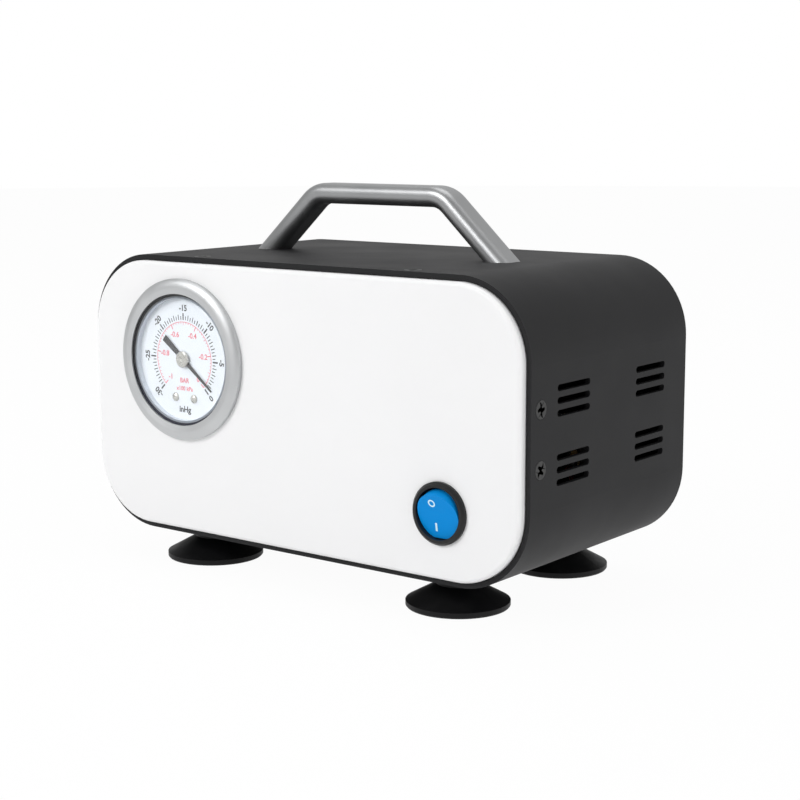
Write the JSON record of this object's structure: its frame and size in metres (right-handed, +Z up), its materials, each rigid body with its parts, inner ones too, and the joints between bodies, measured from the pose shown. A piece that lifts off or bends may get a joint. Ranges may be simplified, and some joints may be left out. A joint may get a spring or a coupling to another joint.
{
  "type": "diaphragm vacuum pump",
  "caption": "Portable bench diaphragm vacuum pump: rounded sheet-metal housing with carry handle, dial vacuum gauge, rocker switch, suction feet, motor-driven pump inside.",
  "frame": {"origin": "centre of the whole outline at table level, under the suction feet", "axes": "+X to the right seen from the front, +Y to the rear where the hose barbs are, +Z up"},
  "size_m": [0.2136, 0.1396, 0.1528],
  "materials": {
    "black_plastic": "satin moulded",
    "board_green": "solder mask",
    "brass": "machined",
    "cast_aluminium": "die cast",
    "clear_glass": "polished",
    "component_mix": "moulded",
    "dial_white": "printed satin",
    "foot_rubber": "matt",
    "fuse_glass": "polished",
    "grey_plastic": "glass filled",
    "handle_aluminium": "satin blasted",
    "hub_metal": "turned",
    "lamination": "varnished stack",
    "magnet": "sintered",
    "painted_steel_black": "fine matt powder coat",
    "painted_white": "satin paint",
    "pointer_black": "matt",
    "rocker_blue": "satin moulded",
    "screw_black": "black oxide",
    "seal_rubber": "matt",
    "silicone_hose": "translucent",
    "stainless": "circular brushed",
    "tinned_copper": "tinned",
    "wire_pvc": "extruded",
    "zinc_steel": "bright zinc"
  },
  "bodies": {
    "housing": {"barb_nuts": "brass", "board_components": "component_mix", "board_standoffs": "brass", "bourdon_tube": "brass", "carry_handle": "handle_aluminium", "crankcase": "cast_aluminium", "crankcase_cover": "black_plastic", "dial_screws": "hub_metal", "diaphragm": "seal_rubber", "exhaust_barb": "brass", "foot_fixings": "zinc_steel", "front_panel": "painted_white", "front_panel_screws": "screw_black", "gauge_bezel": "stainless", "gauge_case": "stainless", "gauge_clamp": "zinc_steel", "gauge_dial": "dial_white", "gauge_lens": "clear_glass", "gauge_seal": "seal_rubber", "gauge_socket": "brass", "head_screws": "zinc_steel", "hoses": "silicone_hose", "housing_sleeve": "painted_steel_black", "inlet_pins": "tinned_copper", "inner_nuts": "zinc_steel", "inner_screws": "zinc_steel", "lead_wires": "wire_pvc", "motor_can": "zinc_steel", "motor_end_cap": "black_plastic", "motor_magnets": "magnet", "movement_plates": "brass", "power_board": "board_green", "power_inlet": "black_plastic", "pump_bracket": "zinc_steel", "pump_head": "black_plastic", "rear_panel": "painted_steel_black", "rear_panel_screws": "screw_black", "rubber_mounts": "foot_rubber", "shaft_bushes": "brass", "suction_feet": "foot_rubber", "switch_body": "black_plastic", "switch_terminals": "tinned_copper", "tee_fitting": "grey_plastic", "vacuum_barb": "brass", "valve_gasket": "seal_rubber", "valve_plate": "grey_plastic"},
    "switch_rocker": {"switch_rocker": "rocker_blue"},
    "pointer": {"gauge_pointer": "pointer_black", "pointer_hub": "hub_metal", "gauge_pinion": "brass"},
    "sector": {"sector_gear": "brass"},
    "link": {"movement_link": "brass"},
    "crank": {"motor_shaft": "zinc_steel", "motor_rotor": "lamination", "eccentric": "zinc_steel"},
    "rod": {"rod_bearing": "stainless", "connecting_rod": "grey_plastic", "diaphragm_clamp": "hub_metal"},
    "fuse_drawer": {"fuse_drawer": "black_plastic", "fuse": "fuse_glass"}
  },
  "joints": [
    {"name": "rocker_tilt", "type": "hinge", "parent": "housing", "child": "switch_rocker", "pos_m": [0.0708, -0.06425, 0.0403], "axis": [1, 0, 0], "range_deg": [-32, 0]},
    {"name": "sector_turn", "type": "hinge", "parent": "housing", "child": "sector", "pos_m": [-0.0555, -0.05725, 0.0667], "axis": [0, -1, 0], "range_deg": [-32.88, 0.88]},
    {"name": "pointer_turn", "type": "hinge", "parent": "housing", "child": "pointer", "pos_m": [-0.0555, -0.06525, 0.0847], "axis": [0, -1, 0], "range_deg": [-7, 263]},
    {"name": "link_swing", "type": "hinge", "parent": "sector", "child": "link", "pos_m": [-0.05196, -0.05625, 0.06249], "axis": [0, -1, 0], "range_deg": [-0.87, 32.55]},
    {"name": "crank_spin", "type": "hinge", "parent": "housing", "child": "crank", "pos_m": [0.001, 0.00975, 0.048], "axis": [1, 0, 0], "continuous": true},
    {"name": "rod_pin", "type": "hinge", "parent": "crank", "child": "rod", "pos_m": [0.001, 0.00975, 0.0495], "axis": [1, 0, 0], "continuous": true, "deforming": ["diaphragm"]},
    {"name": "drawer_slide", "type": "slide", "parent": "housing", "child": "fuse_drawer", "axis": [0, 1, 0], "range_m": [0, 0.014]}
  ],
  "couplings": [
    {"joint": "pointer_turn", "follows": "sector_turn", "ratio": -8},
    {"joint": "link_swing", "follows": "sector_turn", "ratio": -0.99},
    {"joint": "rod_pin", "follows": "crank_spin", "ratio": -1}
  ]
}
